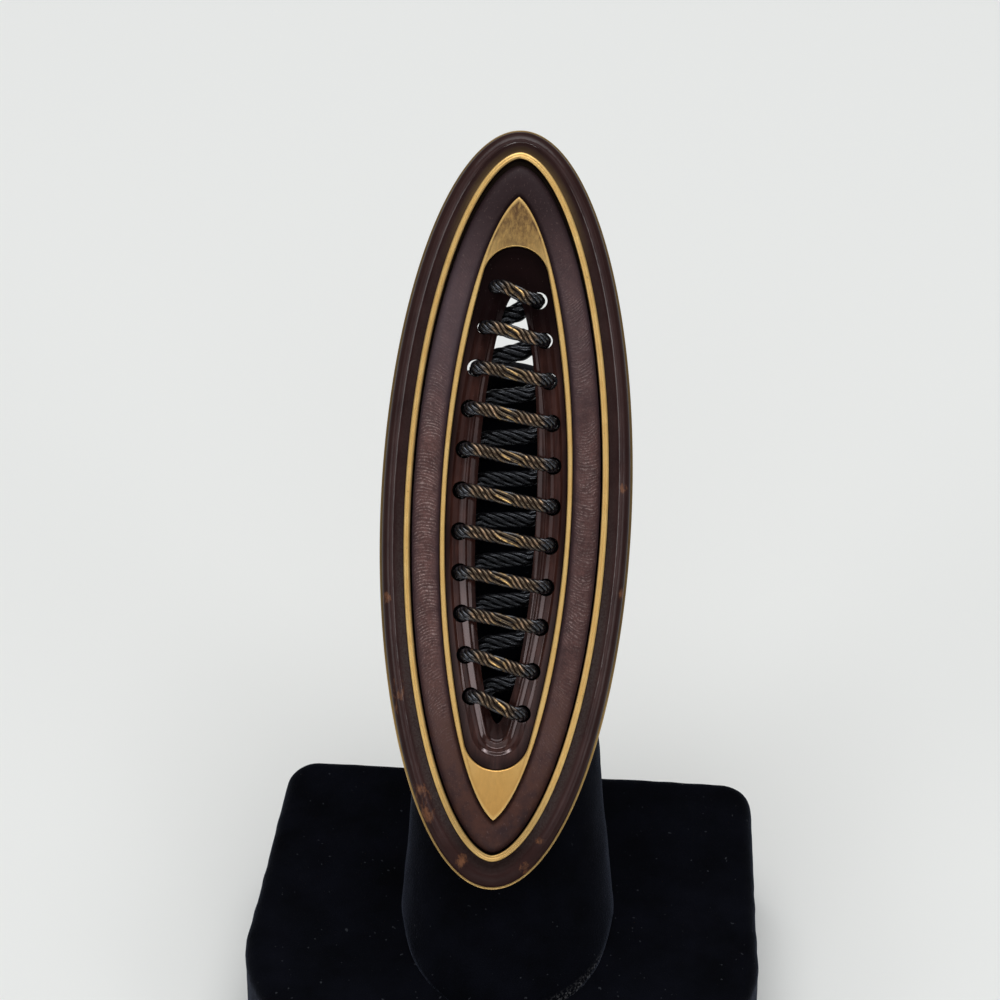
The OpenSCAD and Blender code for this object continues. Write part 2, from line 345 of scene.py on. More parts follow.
# Node materials
class Shader:
    """A material with a Principled shader, and short ways to add nodes to it."""

    def __init__(self, name, **values):
        self.material = bpy.data.materials.new(name)
        self.material.use_nodes = True
        self.tree = self.material.node_tree
        self.main = self.tree.nodes["Principled BSDF"]
        for key, value in values.items():
            self.main.inputs[key.replace("_", " ")].default_value = value
        self.place = self.add("ShaderNodeAttribute", attribute_name="place").outputs["Vector"]

    def add(self, kind, sockets=None, **settings):
        node = self.tree.nodes.new(kind)
        for key, value in settings.items():
            setattr(node, key, value)
        for key, value in (sockets or {}).items():
            if isinstance(value, bpy.types.NodeSocket):
                self.tree.links.new(value, node.inputs[key])
            else:
                node.inputs[key].default_value = value
        return node

    def noise(self, size, detail=2.0, stretch=(1, 1, 1), rough=0.5):
        """Noise whose lumps are about size millimetres, longer along an axis by stretch."""
        scale = [1 / (size * s) for s in stretch]
        at = self.add("ShaderNodeVectorMath", {0: self.place, 1: scale}, operation="MULTIPLY")
        sockets = {"Vector": at.outputs[0], "Scale": 1.0, "Detail": detail, "Roughness": rough}
        return self.add("ShaderNodeTexNoise", sockets).outputs["Fac"]

    def ramp(self, value, stops):
        """Maps a value through stops of (position, colour or grey)."""
        node = self.add("ShaderNodeValToRGB", {"Fac": value})
        ramp = node.color_ramp
        while len(ramp.elements) < len(stops):
            ramp.elements.new(0.5)
        for element, (position, colour) in zip(ramp.elements, stops):
            element.position = position
            if isinstance(colour, (int, float)):
                colour = (colour, colour, colour)
            element.color = (*colour, 1)
        return node.outputs["Color"]

    def math(self, operation, a, b=0.0):
        return self.add("ShaderNodeMath", {0: a, 1: b}, operation=operation).outputs[0]

    def mix(self, factor, a, b):
        """The colour a, turned into the colour b by the factor."""
        node = self.add("ShaderNodeMix", data_type="RGBA")
        wanted = {"Factor_Float": factor, "A_Color": a, "B_Color": b}
        for socket in node.inputs:
            if socket.identifier in wanted:
                value = wanted[socket.identifier]
                if isinstance(value, bpy.types.NodeSocket):
                    self.tree.links.new(value, socket)
                else:
                    socket.default_value = (*value, 1)
        return next(s for s in node.outputs if s.identifier == "Result_Color")

    def attribute(self, name):
        return self.add("ShaderNodeAttribute", attribute_name=name).outputs["Fac"]

    def bump(self, height, distance, below=None):
        """A full step is distance millimetres high. It lies over the bump below, if given."""
        sockets = {"Height": height, "Distance": distance * MM, "Strength": 1.0}
        if below is not None:
            sockets["Normal"] = below
        return self.add("ShaderNodeBump", sockets).outputs["Normal"]

    def use(self, **outputs):
        """Plugs the outputs into the shader and gives back the material."""
        for key, value in outputs.items():
            self.tree.links.new(value, self.main.inputs[key.replace("_", " ")])
        return self.material


def brass_material():
    """Aged brass: satin, tarnished at the tips with painted shade over them, and painted shade
    on walls, in gaps, along edges and under other pieces.
    """
    light = (0.96, 0.65, 0.245)
    dark = (0.82, 0.52, 0.175)
    mark = (0.26, 0.15, 0.055)
    warm = (0.78, 0.42, 0.11)
    tip_tarnish_and_shade = (0.42, 0.25, 0.085)
    tip_tarnish_and_shade_dark = (0.12, 0.060, 0.030)
    painted_shade = (0.030, 0.016, 0.008)
    s = Shader("brass", Metallic=0.72)
    cloud = s.noise(1.1, detail=4, stretch=(1, 1.8, 1))
    brushed = s.noise(0.16, detail=3, stretch=(1, 9, 1))
    marks = s.noise(0.35, detail=3, rough=0.65)
    scratch = s.noise(0.4, detail=5, rough=0.7, stretch=(1, 2.4, 1))
    tone = s.mix(s.ramp(cloud, [(0.35, 0), (0.68, 1)]), dark, light)
    tone = s.mix(s.ramp(brushed, [(0.42, 0.2), (0.6, 0)]), tone, dark)
    tone = s.mix(s.ramp(marks, [(0.64, 0), (0.78, 0.6)]), tone, mark)
    worn = s.mix(s.ramp(scratch, [(0.38, 0), (0.58, 1)]), tip_tarnish_and_shade, tip_tarnish_and_shade_dark)
    tone = s.mix(s.attribute("warm"), tone, warm)
    # Tarnish with painted shade at the lens tips, stronger at the upper one
    tone = s.mix(s.attribute("tip_tarnish_and_shade"), tone, worn)
    # Painted shade on walls, in gaps and along edges
    tone = s.mix(s.attribute("painted_shade"), tone, painted_shade)
    roughness = s.ramp(cloud, [(0.3, 0.44), (0.7, 0.36)])
    normal = s.bump(brushed, 0.005)
    return s.use(Base_Color=tone, Roughness=roughness, Normal=normal)


def lacquer_material():
    """Dark brown lacquer on brass, worn in spots, with a painted reflection of the rim by its
    upper tip, a dusty cove that also carries a painted reflection, and painted shade on the
    roll's outer side and lower end.
    """
    dark = (0.027, 0.0125, 0.0125)
    light = (0.052, 0.0260, 0.0245)
    dust_and_reflection_tone = (0.085, 0.065, 0.062)
    rim_reflection_tone = (0.23, 0.150, 0.070)
    wall_shade_tone = (0.022, 0.0095, 0.0085)
    worn_tone = (0.28, 0.120, 0.055)
    s = Shader("brown_lacquer")
    cloud = s.noise(2.4, detail=5, stretch=(1, 1.6, 1), rough=0.6)
    fine = s.noise(0.22, detail=4, rough=0.6)
    speck = s.noise(0.6, detail=6, rough=0.75, stretch=(1, 2.4, 1))
    tone = s.ramp(cloud, [(0.3, dark), (0.7, light)])
    # Greyer in the cove: partly dusty, partly a painted reflection
    dust_and_painted_reflection = s.math("MULTIPLY", s.attribute("dust_and_painted_reflection"), s.ramp(fine, [(0.35, 0.35), (0.65, 1)]))
    tone = s.mix(dust_and_painted_reflection, tone, dust_and_reflection_tone)
    # Painted reflection of the brass rim by its upper tip
    tone = s.mix(s.attribute("painted_rim_reflection"), tone, rim_reflection_tone)
    # Painted shade on the roll's outer side and lower end
    tone = s.mix(s.ramp(s.attribute("wall"), [(0, 0), (1, 0.6)]), tone, wall_shade_tone)
    worn = s.math("ADD", speck, s.math("MULTIPLY", s.attribute("wear"), 0.45))
    tone = s.mix(s.ramp(worn, [(0.84, 0), (1.0, 0.5)]), tone, worn_tone)
    rougher = s.math("MULTIPLY", s.attribute("wall"), 0.3)
    roughness = s.math("ADD", s.ramp(cloud, [(0.3, 0.13), (0.7, 0.06)]), rougher)
    level = s.ramp(s.attribute("wall"), [(0.0, 0.42), (1.0, 0.06)])
    normal = s.bump(fine, 0.005)
    return s.use(Base_Color=tone, Roughness=roughness, Normal=normal, Specular_IOR_Level=level)


def leather_material():
    """Brown leather with fine bowed creases whose ridges carry a painted highlight, purple at
    its edges (painted shade) and towards its top, and painted shade at its tips and right
    side.
    """
    dark = (0.060, 0.022, 0.020)
    light = (0.132, 0.058, 0.052)
    fold_highlight_tone = (0.44, 0.31, 0.29)
    grain_tone = (0.020, 0.009, 0.009)
    edge_tone = (0.066, 0.042, 0.050)
    tip_tone = (0.026, 0.0145, 0.0165)
    warm_tone = (0.066, 0.028, 0.021)
    fleck_tone = (0.16, 0.105, 0.095)
    s = Shader("leather")
    cloud = s.noise(1.3, detail=4, rough=0.6)
    grain = s.noise(0.12, detail=3, rough=0.65)
    fleck = s.noise(0.2, detail=2, rough=0.7, stretch=(1, 1.6, 1))
    jitter = s.math("MULTIPLY", s.noise(0.5, detail=2, stretch=(2.6, 1, 1)), 1.7)
    phase = s.math("ADD", s.attribute("phase"), jitter)
    wave = s.math("SINE", s.math("MULTIPLY", phase, math.pi))
    thin = s.math("POWER", s.math("SUBTRACT", 1.0, s.math("ABSOLUTE", wave)), 1.7)
    fold = s.math("MULTIPLY", thin, s.attribute("amount"))
    fold = s.math("MULTIPLY", fold, s.ramp(fleck, [(0.42, 0.05), (0.60, 1)]))
    tone = s.ramp(cloud, [(0.34, dark), (0.66, light)])
    # Painted highlight along the ridges of the creases
    tone = s.mix(fold, tone, fold_highlight_tone)
    tone = s.mix(s.ramp(grain, [(0.38, 0.45), (0.6, 0)]), tone, grain_tone)
    # Painted shade darkens the band's edges to purple; the upper part is purple too
    tone = s.mix(s.attribute("edge"), tone, edge_tone)
    tone = s.mix(s.attribute("shade"), tone, tip_tone)
    warm = s.math("MULTIPLY", s.attribute("warm"), s.ramp(cloud, [(0.35, 0.15), (0.62, 0.9)]))
    tone = s.mix(warm, tone, warm_tone)
    tone = s.mix(s.ramp(fleck, [(0.62, 0), (0.74, 0.35)]), tone, fleck_tone)
    roughness = s.ramp(grain, [(0.3, 0.60), (0.7, 0.44)])
    level = s.ramp(s.attribute("shade"), [(0.0, 0.35), (1.0, 0.12)])
    folds = s.bump(fold, 0.05)
    normal = s.bump(grain, 0.018, below=folds)
    return s.use(Base_Color=tone, Roughness=roughness, Normal=normal, Specular_IOR_Level=level)


def tray_material():
    """Dark red-brown resin with upright streaks, darker at its top end and in its groove."""
    dark = (0.026, 0.0090, 0.0068)
    light = (0.060, 0.0225, 0.0175)
    cloud_tone = (0.024, 0.009, 0.008)
    shade_tone = (0.0085, 0.0038, 0.0040)
    speck_tone = (0.20, 0.15, 0.14)
    s = Shader("dark_resin", Specular_Tint=(1.0, 0.84, 0.85, 1.0))
    streak = s.noise(0.4, detail=4, stretch=(1, 12, 1), rough=0.6)
    cloud = s.noise(2.0, detail=3)
    speck = s.noise(0.12, detail=1, rough=0.4)
    tone = s.ramp(streak, [(0.36, dark), (0.64, light)])
    tone = s.mix(s.ramp(cloud, [(0.38, 0.5), (0.62, 0)]), tone, cloud_tone)
    tone = s.mix(s.attribute("shade"), tone, shade_tone)
    tone = s.mix(s.ramp(speck, [(0.76, 0), (0.80, 0.5)]), tone, speck_tone)
    roughness = s.ramp(streak, [(0.3, 0.08), (0.7, 0.16)])
    normal = s.bump(streak, 0.004)
    level = s.ramp(s.attribute("shade"), [(0.0, 0.74), (1.0, 0.12)])
    level = s.math("MULTIPLY", level, s.ramp(s.attribute("mute"), [(0.0, 1.0), (1.0, 0.3)]))
    return s.use(Base_Color=tone, Roughness=roughness, Normal=normal, Specular_IOR_Level=level)


def cord_material():
    """Waxed black yarn with bronze in front: the strands' crests carry painted highlights,
    golden in each row's middle, and painted shade keeps the back and bends black.
    """
    bronze = (0.44, 0.285, 0.175)
    middle_glint_gold = (1.0, 0.64, 0.24)
    black = (0.0050, 0.0048, 0.0062)
    brown = (0.017, 0.0095, 0.0070)
    s = Shader("braided_cord", Specular_IOR_Level=0.8)
    worn = s.noise(0.8, detail=3)
    fibre = s.noise(0.08, detail=2)
    front = s.attribute("front_rub_and_shade")
    # Painted highlights along the strands' crests, brighter and golden in each row's middle
    crest_highlight = s.math("MULTIPLY", front, s.attribute("crest_highlight"))
    crest_highlight = s.math("MULTIPLY", crest_highlight, s.ramp(worn, [(0.45, 0.0), (0.54, 1)]))
    crest_highlight_tone = s.mix(s.attribute("middle_glint_gold"), bronze, middle_glint_gold)
    # Painted shade: what lies behind or bends back stays black, the front brown
    tone = s.mix(front, black, brown)
    tone = s.mix(crest_highlight, tone, crest_highlight_tone)
    tint = s.mix(front, (0.85, 0.9, 1.0), (1.0, 0.80, 0.55))
    roughness = s.ramp(fibre, [(0.3, 0.22), (0.7, 0.34)])
    metal = s.math("MULTIPLY", crest_highlight, 0.35)
    normal = s.bump(fibre, 0.004)
    return s.use(Base_Color=tone, Roughness=roughness, Normal=normal, Metallic=metal,
                 Specular_Tint=tint)


def velvet_material():
    """Black velvet with a faint cool sheen, brushed unevenly."""
    dark = (0.0010, 0.0012, 0.0022)
    light = (0.0026, 0.0030, 0.0056)
    lint_tone = (0.055, 0.06, 0.07)
    dust_and_reflection_tone = (0.20, 0.20, 0.21)
    s = Shader("velvet", Roughness=0.95, Specular_IOR_Level=0.04, Sheen_Weight=0.1,
               Sheen_Roughness=0.3, Sheen_Tint=(0.6, 0.7, 1.0, 1.0))
    cloud = s.noise(5.0, detail=4, rough=0.6)
    nap = s.noise(0.25, detail=3, rough=0.7)
    lint = s.noise(0.45, detail=1, rough=0.3)
    dust_and_painted_reflection = s.math("MULTIPLY", s.attribute("dust_and_painted_reflection"), s.ramp(nap, [(0.5, 0), (0.62, 0.7)]))
    tone = s.ramp(cloud, [(0.3, dark), (0.7, light)])
    tone = s.mix(s.ramp(lint, [(0.77, 0), (0.80, 0.4)]), tone, lint_tone)
    tone = s.mix(dust_and_painted_reflection, tone, dust_and_reflection_tone)
    normal = s.bump(nap, 0.08)
    return s.use(Base_Color=tone, Normal=normal)


def floor_material():
    """A plain pale floor, very faintly clouded."""
    pale = (0.845, 0.86, 0.85)
    s = Shader("floor", Roughness=0.7)
    soft = s.noise(60.0)
    tone = s.ramp(soft, [(0.3, [c * 0.985 for c in pale]), (0.7, pale)])
    return s.use(Base_Color=tone)


# Ring head
def build_brass_base(material):
    """The back plate, and the shank soldered to it."""
    turn = ring_turns()
    opening = oval(OPEN_A - 0.35, OPEN_B - 0.2, OPEN_R, turn)
    edge = pointed(HEAD_A, HEAD_B, 0.5, turn)
    rows = [level(opening, 0), level(opening, PLATE_T), level(edge, PLATE_T), level(edge, 0)]
    plate = divide(soften(rows, 0.12, 4), 1.0)
    faces = grid_faces(len(plate), len(turn))
    points = plate.reshape(-1, 3)

    # The shank's middle line runs down from the plate, round the finger and up again.
    middle = SHANK_R + SHANK_T / 2
    leg = np.linspace(0.8, -AXIS_IN, 24)[:-1]
    arc = np.linspace(0, np.pi, 121)
    path = [(middle, z) for z in leg]
    path += [(middle * math.cos(a), -AXIS_IN - middle * math.sin(a)) for a in arc]
    path += [(-middle, z) for z in leg[::-1]]
    path = np.array(path)
    ahead = np.gradient(path, axis=0)
    ahead /= np.linalg.norm(ahead, axis=1, keepdims=True)
    outward = np.stack([-ahead[:, 1], ahead[:, 0]], -1)
    # Solder thickens the ends under the plate.
    flare = 0.55 * np.exp(-np.maximum(0, -path[:, 1]) / 0.45)
    section = rounded_rectangle(SHANK_T / 2, SHANK_W / 2, 0.4)
    shank = []
    for p, out, grow in zip(path, outward, flare):
        thick = section[:, 0] * (1 + grow / (SHANK_T / 2))
        wide = section[:, 1] * (1 + grow / (SHANK_W / 2))
        shank.append(np.column_stack([p[0] + out[0] * thick, wide, p[1] + out[1] * thick]))
    faces += capped_faces(len(shank), len(section), start=len(points))
    points = np.vstack([points, *shank])
    obj = piece("ring_back", points, faces, material, "brass", replaces=["brass_base"])
    # Painted shade darkens what lies under the other pieces, and the edge too, less at its
    # lower end.
    x, y, z = points.T
    under = (np.hypot(x / (HEAD_B - 0.3), y / (HEAD_A - 0.3)) < 1) & (z > PLATE_T - 0.3)
    painted_edge_shade = np.clip(0.45 + 0.35 * (y + 24) / 12, 0.45, 0.8) * (z > 0)
    float_attribute(obj, "painted_shade", np.maximum(under, painted_edge_shade))


def rounded_rectangle(half_x, half_y, radius):
    out = []
    for quarter, corner in enumerate([(1, 1), (-1, 1), (-1, -1), (1, -1)]):
        centre = np.array(corner) * [half_x - radius, half_y - radius]
        a = np.linspace(0, np.pi / 2, 6) + quarter * np.pi / 2
        out.append(centre + radius * np.stack([np.cos(a), np.sin(a)], -1))
    return np.vstack(out)


# Spots where the lacquer is worn through: x, y and radius
WEAR = [
    [-10.2, -18.6, 1.2],
    [-10.6, -20.6, 0.9],
    [-7.4, -29.0, 1.4],
    [-6.7, -30.9, 1.0],
    [-2.9, -35.2, 0.8],
    [12.1, -8.0, 0.7],
    [3.4, -35.7, 0.8],
    [4.8, -32.9, 0.5],
    [11.6, 2.5, 0.6],
    [-11.6, -9.5, 0.7],
]


def build_frame(material):
    """A roll along the outer edge, and a cove that falls to the rim."""
    turn = ring_turns(FINE_STEPS)
    a = HEAD_A - 0.25
    b = HEAD_B - 0.25
    ai = RIM_A + GAP
    bi = RIM_B + GAP
    crest_in = 0.95
    # Half length, half width, exponent, height and softness of each corner of the section
    table = [
        [ai, bi, RIM_OUTER_P, SEAT, 0.05],
        [ai, bi, RIM_OUTER_P, FRAME_TOP - 0.62, 0.05],
        [ai + 0.25, bi + 0.25, 0.549, FRAME_TOP - 0.58, 0.2],
        [ai + 0.7, bi + 0.7, 0.534, FRAME_TOP - 0.34, 0.3],
        [a - 1.17, b - 1.17, 0.5275, FRAME_TOP - 0.092, 0.02],
        [a - crest_in, b - crest_in, 0.522, FRAME_TOP, 0.3],
        [a - 0.45, b - 0.45, 0.510, FRAME_TOP - 0.15, 0.3],
        [a - 0.12, b - 0.12, 0.502, FRAME_TOP - 0.5, 0.2],
        [a, b, 0.5, FRAME_TOP - 1.0, 0.2],
        [a, b, 0.5, SEAT, 0.05],
    ]
    # The rows follow the rim's lowered tip, and less so the further out they lie.
    rows = [
        level(lowered(pointed(la, wb, e, turn), min(1, (RIM_A + 2.2 - la) / 2.1)), z)
        for la, wb, e, z, _ in table
    ]
    rows = soften(rows, [row[4] for row in table], 4)
    wavy = rows.copy()
    wave = 0.012 * bumps(rows, 1.3, 3) + 0.008 * bumps(rows, 0.5, 4)
    wavy[..., 2] += wave * np.clip((rows[..., 2] - SEAT - 0.3) / 0.5, 0, 1)
    obj = band("brown_frame", wavy, material, "brown_lacquer", replaces=["outer_frame"])

    x, y, z = np.moveaxis(wavy, -1, 0)
    wear = np.zeros(x.shape)
    for spot_x, spot_y, spot_r in WEAR:
        away = np.hypot(x - spot_x, y - spot_y) / spot_r
        wear = np.maximum(wear, np.clip(1.3 - 0.7 * away, 0, 0.87))
    float_attribute(obj, "wear", wear)
    # Dust and a painted reflection lie in the cove, more of them towards the lower end.
    cove_x = (HEAD_B - 1.1) * np.sqrt(np.maximum(0, 1 - (y / (HEAD_A - 1.1)) ** 2))
    cove = np.clip((FRAME_TOP - 0.1 - z) / 0.4, 0, 1) * (np.abs(x) < cove_x)
    float_attribute(obj, "dust_and_painted_reflection", cove * np.clip((8 - y) / 20, 0.25, 1))
    # The outer side of the roll and the lower end are less glossy, and darker by painted
    # shade.
    y, z = rows[..., 1], rows[..., 2]
    from_rim = rows[:, :1, 1] - ai
    outer = np.clip((FRAME_TOP - 0.02 - z) / 0.15, 0, 1) * (from_rim > a - crest_in - ai)
    foot = np.clip((-31 - y) / 3, 0, 1)
    float_attribute(obj, "wall", np.maximum(outer, foot))
    # By the rim's upper tip the cove carries a painted reflection of the brass rim.
    upper_tip = 0.75 * np.clip((y - 24) / 8, 0, 1)
    float_attribute(obj, "painted_rim_reflection", np.clip(1 - from_rim / 0.7, 0, 1) * upper_tip)


def build_rim(material):
    """A thin upright rim, with a fine line run round its flat top."""
    turn = ring_turns(FINE_STEPS)
    ai = RIM_A - RIM_W_TIP
    bi = RIM_B - RIM_W
    # Half length, half width, exponent, height and softness of each corner of the section.
    # The first four make the rim's inner side.
    inner_corners = 4
    table = [
        [ai, bi, RIM_INNER_P, SEAT, 0.03],
        [ai, bi, RIM_INNER_P, RIM_TOP - 0.22, 0.03],
        [ai, bi, RIM_INNER_P, RIM_TOP - 0.1, 0.05],
        [ai + 0.09, bi + 0.09, RIM_INNER_P, RIM_TOP, 0.04],
        [ai + 0.26, bi + 0.25, 0.569, RIM_TOP, 0.02],
        [ai + 0.31, bi + 0.3, 0.567, RIM_TOP - 0.045, 0.02],
        [ai + 0.36, bi + 0.35, 0.565, RIM_TOP, 0.02],
        [RIM_A - 0.15, RIM_B - 0.15, RIM_OUTER_P, RIM_TOP, 0.05],
        [RIM_A, RIM_B, RIM_OUTER_P, RIM_TOP - 0.12, 0.05],
        [RIM_A, RIM_B, RIM_OUTER_P, RIM_TOP - 0.25, 0.03],
        [RIM_A, RIM_B, RIM_OUTER_P, SEAT, 0.03],
    ]
    rows = [level(lowered(pointed(la, wb, e, turn)), z) for la, wb, e, z, _ in table]
    rows = soften(rows, [row[4] for row in table], 2)
    obj = band("brass_rim", rows, material, "brass", replaces=["inner_rim"])
    x, y, z = np.moveaxis(rows, -1, 0)
    # Painted shade on the rim's walls, towards its lower tip, and on the left half of its
    # inner side
    painted_shade = np.maximum(z < RIM_TOP - 0.14, 0.28 * np.clip((-26 - y) / 5, 0, 1))
    inner = inner_corners * len(rows) // len(table)
    painted_shade[:inner] = np.maximum(painted_shade[:inner], 0.5 * (x[:inner] < 0))
    float_attribute(obj, "painted_shade", painted_shade)


def build_lens(material):
    """A lens with sharp points, cut out for the tray."""
    turn = ring_turns(FINE_STEPS)
    bevel = 0.1
    opening = oval(OPEN_A, OPEN_B, OPEN_R, turn)
    outside = sharper(LENS_A, LENS_B, LENS_P, turn)
    rows = [
        level(opening, SEAT),
        level(opening, LENS_TOP - 2 * bevel),
        level(opening, LENS_TOP - bevel),
        level(oval(OPEN_A + bevel, OPEN_B + bevel, OPEN_R + bevel, turn), LENS_TOP),
        level(sharper(LENS_A - 0.6, LENS_B - 0.2, LENS_P, turn), LENS_TOP),
        level(sharper(LENS_A - bevel, LENS_B - bevel, LENS_P, turn), LENS_TOP),
        level(outside, LENS_TOP - bevel),
        level(outside, LENS_TOP - 2 * bevel),
        level(outside, SEAT),
    ]
    rows = soften(rows, 0.04, 2)
    obj = band("brass_lens", rows, material, "brass", replaces=["lens_plate"])
    x, y, z = np.moveaxis(rows, -1, 0)
    # Painted shade on the lens's walls below its top
    float_attribute(obj, "painted_shade", z < LENS_TOP - 0.14)
    # The two tips are toned inside a bright line along their edges: tarnish with painted
    # shade, far stronger at the upper tip, and a warmer tone at the lower one.
    flat = np.clip((z - LENS_TOP + 0.03) / 0.03, 0, 1)
    tips = np.clip((np.abs(y) - 24) / 3, 0, 1)
    right_side = rows[-1, : len(turn) // 2][::-1]
    half = np.interp(y, right_side[:, 1], right_side[:, 0])
    middle = np.clip((half - np.abs(x) - 0.14) / 0.08, 0, 1)
    float_attribute(obj, "tip_tarnish_and_shade", flat * tips * middle * np.where(y > 0, 1.0, 0.2))
    float_attribute(obj, "warm", tips * middle * np.where(y > 0, 0.0, 0.9))


# Points round the leather, and rows across it
LEATHER_RINGS = 2000
LEATHER_ROWS = 31
# The leather stays this far inside the rim, at the tips and at the sides.
LEATHER_IN_TIP = 0.5
LEATHER_IN = 0.06
CREASE_PITCH = 0.33
CREASE_BOW = 0.62
CREASE_H = 0.055


def build_leather(material):
    """A domed leather band whose creases run across it in bows."""
    ao = RIM_A - RIM_W_TIP - LEATHER_IN_TIP
    bo = RIM_B - RIM_W - LEATHER_IN
    ai = LENS_A + GAP
    bi = LENS_B + GAP
    half_len = (ai + ao) / 2
    half_wid = (bi + bo) / 2
    turn, run = even_turns(lambda t: pointed(half_len, half_wid, 0.62, t), LEATHER_RINGS)
    # Kind of outline, half length, half width, exponent and height of each corner of the dome
    table = [
        [sharper, ai, bi, LENS_P, LEATHER_TOP - 0.5],
        [sharper, ai + 0.55, bi + 0.45, 0.645, LEATHER_TOP - 0.15],
        [pointed, ai + 1.2, bi + 1.0, 0.635, LEATHER_TOP],
        [pointed, ao - 1.0, bo - 0.95, 0.612, LEATHER_TOP - 0.05],
        [pointed, ao - 0.4, bo - 0.4, 0.592, LEATHER_TOP - 0.3],
        [pointed, ao, bo, RIM_INNER_P, LEATHER_TOP - 0.8],
    ]
    rows = np.array([level(outline(la, wb, e, turn), z) for outline, la, wb, e, z in table])
    crown = soften(rows, [0, 0.6, 0.8, 0.8, 0.6, 0], 4)
    crown = spread(crown, LEATHER_ROWS)
    across = np.linspace(-1, 1, LEATHER_ROWS)[:, None]
    phase, amount = creases(crown, run[None, :], across)
    fold = (1 - np.abs(np.sin(np.pi * phase))) ** 1.4
    height = CREASE_H * amount * (fold - 0.3) + 0.01 * bumps(crown, 0.3, 14)
    crown = crown + grid_normals(crown) * height[..., None]
    skirt_in = level(sharper(ai, bi, LENS_P, turn), SEAT)
    skirt_out = level(pointed(ao, bo, RIM_INNER_P, turn), SEAT)
    rows = np.concatenate([skirt_in[None], crown, skirt_out[None]])
    obj = band("leather_inlay", rows, material, "leather", sharp=0, replaces=["leather_band"])

    def rim_rows(values):
        """The skirts take the values of the dome's first and last row."""
        return np.vstack([values[:1], values, values[-1:]])

    x, y, _ = np.moveaxis(crown, -1, 0)
    # Painted shade at the band's edges, and a purple tone towards its top
    edge = np.abs(across) ** 3 + 0.35 * np.clip(across - 0.2, 0, 1) * (x < 0)
    edge = edge + np.where(x < 0, 0.7, 0.45) * np.clip((y - 6) / 10, 0, 1)
    tips = np.clip((np.abs(y) - 21) / 9, 0, 1)
    right = np.clip(x / 6, 0, 1) * 0.22
    float_attribute(obj, "phase", rim_rows(phase))
    float_attribute(obj, "amount", rim_rows(amount))
    float_attribute(obj, "edge", rim_rows(np.clip(edge, 0, 1)))
    float_attribute(obj, "shade", rim_rows(np.maximum(tips, right)))
    float_attribute(obj, "warm", rim_rows(np.clip((-14 - y) / 8, 0, 1)))


def creases(crown, run, across):
    """Where each point lies between two creases, and how strong the creases are there."""
    wander = bumps(crown, 2.4, 11) * 1.1 + bumps(crown, 0.8, 12) * 0.22
    phase = (run - CREASE_BOW * (1 - across**2)) / CREASE_PITCH + wander
    patch = np.clip(0.75 + 0.9 * bumps(crown, 1.2, 13), 0.15, 1.2)
    middle = np.clip(1.4 - 1.9 * across**2, 0, 1)
    y = crown[..., 1]
    left = crown[..., 0] < 0
    # By this height they have nearly faded away on each side.
    start = np.where(left, 16, 27)
    upper = np.clip((start - y) / 6, 0.2, 1) * np.clip((30 - y) / 5, 0, 1)
    lower = np.clip((y + 17) / 6, 0.45, 1) * np.clip((y + 28) / 6, 0, 1)
    strength = upper * lower * np.where(left, 1.1, 0.9)
    return phase, strength * patch * middle


def left_y(k):
    return (TURNS - 1) / 2 * TURN_PITCH + LEFT_RISE - k * TURN_PITCH


def right_y(k):
    return (TURNS - 1) / 2 * TURN_PITCH + RIGHT_RISE - k * TURN_PITCH + RIGHT_SHIFT[k]


def edge_x(y):
    """Half the width of the opening at a height."""
    return oval_x(OPEN_A, OPEN_B, OPEN_R, y)


